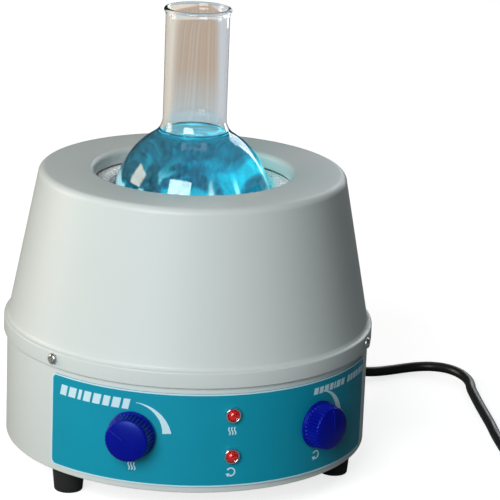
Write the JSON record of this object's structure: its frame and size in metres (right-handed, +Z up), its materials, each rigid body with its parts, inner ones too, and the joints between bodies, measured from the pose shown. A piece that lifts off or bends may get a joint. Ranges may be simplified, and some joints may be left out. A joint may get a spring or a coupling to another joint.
{
  "type": "stirring heating mantle with round bottom flask",
  "caption": "Stirring heating mantle: conical housing on a drum with label, knobs and lamps, a knitted heating well and a seated round bottom flask of blue liquid.",
  "frame": {"origin": "on the drum's axis, on the surface that the three feet stand on", "axes": "+Z up along the drum's and the flask's axis; -Y is the front, with the label, lamps and knobs; +X is to the right seen from the front"},
  "size_m": [0.3613, 0.251, 0.252],
  "materials": {
    "housing": "light grey powder coat, satin",
    "label": "teal printed polyester label",
    "steel": "zinc plated",
    "rubber": "matte black",
    "glass_fibre_knit": "white knitted glass fibre",
    "sleeving": "braided glass sleeving over resistance wire",
    "glass_wool": "pressed glass wool",
    "aluminium": "mill finish",
    "brass": "turned",
    "circuit_board": "green solder mask",
    "terminal_plastic": "moulded",
    "chrome": "bright plated",
    "lamp_lens": "clear red moulding",
    "black_plastic": "moulded nylon",
    "cord_jacket": "black PVC, satin",
    "knob_plastic": "deep blue moulding, satin gloss",
    "magnet": "sintered and plated",
    "glass": "clear borosilicate",
    "blue_liquid": "clear blue water solution",
    "ptfe": "white PTFE coating"
  },
  "bodies": {
    "mantle": {"upper_shell": "housing", "lower_drum": "housing", "front_label": "label", "base_plate": "steel", "foot_front_left": "rubber", "foot_front_right": "rubber", "foot_rear": "rubber", "foot_screw_front_left": "steel", "foot_screw_front_right": "steel", "foot_screw_rear": "steel", "housing_screw_front_left": "steel", "housing_screw_front_right": "steel", "housing_screw_rear": "steel", "heating_bed": "glass_fibre_knit", "heating_element": "sleeving", "insulation_cup": "glass_wool", "inner_bowl": "aluminium", "motor_body": "steel", "motor_plate": "steel", "motor_standoff_1": "brass", "motor_standoff_2": "brass", "motor_standoff_3": "brass", "control_board": "circuit_board", "board_spacer_left": "brass", "board_spacer_right": "brass", "triac_heat_sink": "aluminium", "terminal_block": "terminal_plastic", "heat_pot": "steel", "heat_pot_nut": "chrome", "stir_pot": "steel", "stir_pot_nut": "chrome", "upper_lamp_bezel": "chrome", "upper_lamp_lens": "lamp_lens", "lower_lamp_bezel": "chrome", "lower_lamp_lens": "lamp_lens", "cord_strain_relief": "rubber", "strain_relief_nut": "black_plastic", "mains_cord": "cord_jacket", "cord_coil": "cord_jacket", "cord_tail": "cord_jacket", "cord_tie": "black_plastic", "plug_body": "cord_jacket", "plug_blade_left": "brass", "plug_blade_right": "brass", "plug_ground_pin": "brass"},
    "heat_knob": {"heat_knob": "knob_plastic", "heat_knob_shaft": "brass"},
    "stir_knob": {"stir_knob": "knob_plastic", "stir_knob_shaft": "brass"},
    "stirring_drive": {"motor_shaft": "steel", "magnet_holder": "aluminium", "drive_magnet_north": "magnet", "drive_magnet_south": "magnet"},
    "flask": {"flask_glass": "glass", "flask_liquid": "blue_liquid"},
    "stir_bar": {"stir_bar": "ptfe"}
  },
  "joints": [
    {"name": "heat_knob_turn", "type": "hinge", "parent": "mantle", "child": "heat_knob", "pos_m": [-0.0499, -0.08643, 0.0456], "axis": [0.5, 0.866, 0], "range_deg": [-75, 195]},
    {"name": "stir_knob_turn", "type": "hinge", "parent": "mantle", "child": "stir_knob", "pos_m": [0.0499, -0.08643, 0.0456], "axis": [-0.5, 0.866, 0], "range_deg": [-135, 135]},
    {"name": "drive_spin", "type": "hinge", "parent": "mantle", "child": "stirring_drive", "pos_m": [0, 0, 0.066], "axis": [0, 0, 1], "continuous": true},
    {"name": "flask_lift", "type": "slide", "parent": "mantle", "child": "flask", "axis": [0, 0, 1], "range_m": [0, 0.1]},
    {"name": "stir_bar_spin", "type": "hinge", "parent": "flask", "child": "stir_bar", "pos_m": [0, 0, 0.1102], "axis": [0, 0, 1], "continuous": true}
  ],
  "couplings": [
    {"joint": "stir_bar_spin", "follows": "drive_spin", "ratio": 1}
  ]
}
